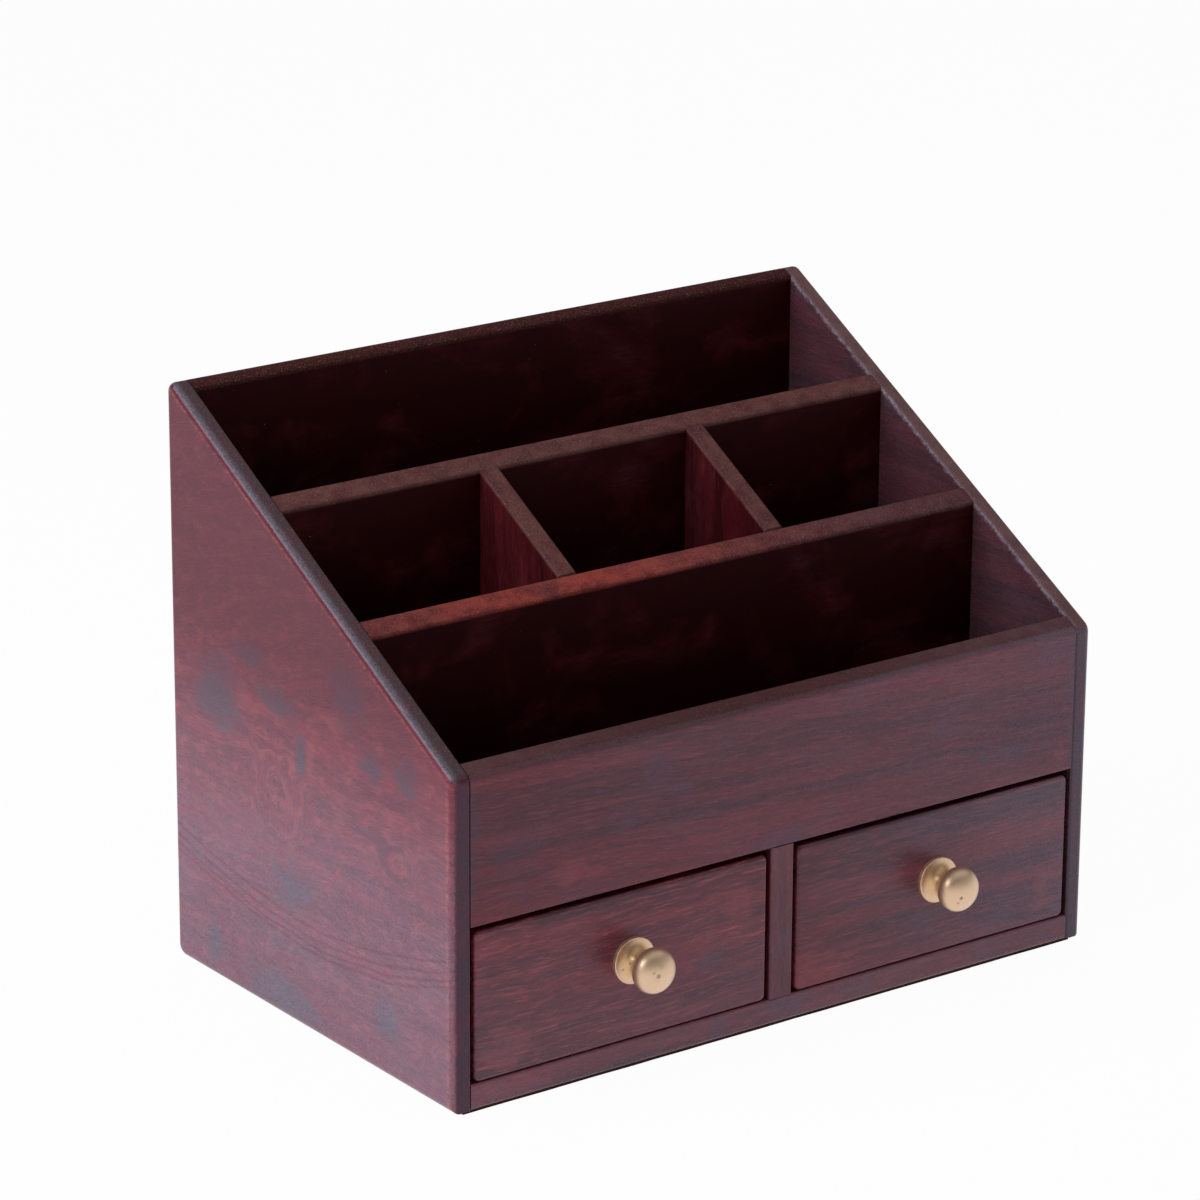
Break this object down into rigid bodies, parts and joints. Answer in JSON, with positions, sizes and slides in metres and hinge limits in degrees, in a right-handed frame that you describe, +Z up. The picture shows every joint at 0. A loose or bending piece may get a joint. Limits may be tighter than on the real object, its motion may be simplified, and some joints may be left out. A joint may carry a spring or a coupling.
{
  "type": "desktop drawer organizer",
  "caption": "Slope-topped wooden desk organizer with open letter, card and pen compartments above sliding drawers with turned brass knobs.",
  "frame": {"origin": "on the table, under the middle of the case's footprint", "axes": "+X to the right of someone facing the front, +Y to the back, +Z up; the drawers open towards -Y"},
  "size_m": [0.25, 0.1741, 0.1943],
  "materials": {
    "stained_wood": "dark red-brown stain under a worn satin wax",
    "drawer_wood": "thin stain, unpolished",
    "brass": "satin, lightly pitted",
    "steel": "plain bright pins and screws",
    "felt": "thin pressed felt"
  },
  "bodies": {
    "case": {"left_side_panel": "stained_wood", "right_side_panel": "stained_wood", "back_panel": "stained_wood", "front_apron": "stained_wood", "base_board": "stained_wood", "drawer_deck": "stained_wood", "drawer_mullion": "stained_wood", "rear_partition": "stained_wood", "front_partition": "stained_wood", "left_cubby_divider": "stained_wood", "right_cubby_divider": "stained_wood", "base_felt": "felt", "left_side_pins": "steel", "right_side_pins": "steel", "mullion_pins": "steel", "divider_pins": "steel"},
    "left_drawer": {"left_drawer_front": "stained_wood", "left_drawer_left_wall": "drawer_wood", "left_drawer_right_wall": "drawer_wood", "left_drawer_back_wall": "drawer_wood", "left_drawer_bottom": "drawer_wood", "left_drawer_pins": "steel", "left_knob": "brass", "left_knob_screw": "steel"},
    "right_drawer": {"right_drawer_front": "stained_wood", "right_drawer_left_wall": "drawer_wood", "right_drawer_right_wall": "drawer_wood", "right_drawer_back_wall": "drawer_wood", "right_drawer_bottom": "drawer_wood", "right_drawer_pins": "steel", "right_knob": "brass", "right_knob_screw": "steel"}
  },
  "joints": [
    {"name": "left_drawer_slide", "type": "slide", "parent": "case", "child": "left_drawer", "axis": [0, -1, 0], "range_m": [0, 0.115]},
    {"name": "right_drawer_slide", "type": "slide", "parent": "case", "child": "right_drawer", "axis": [0, -1, 0], "range_m": [0, 0.115]}
  ]
}
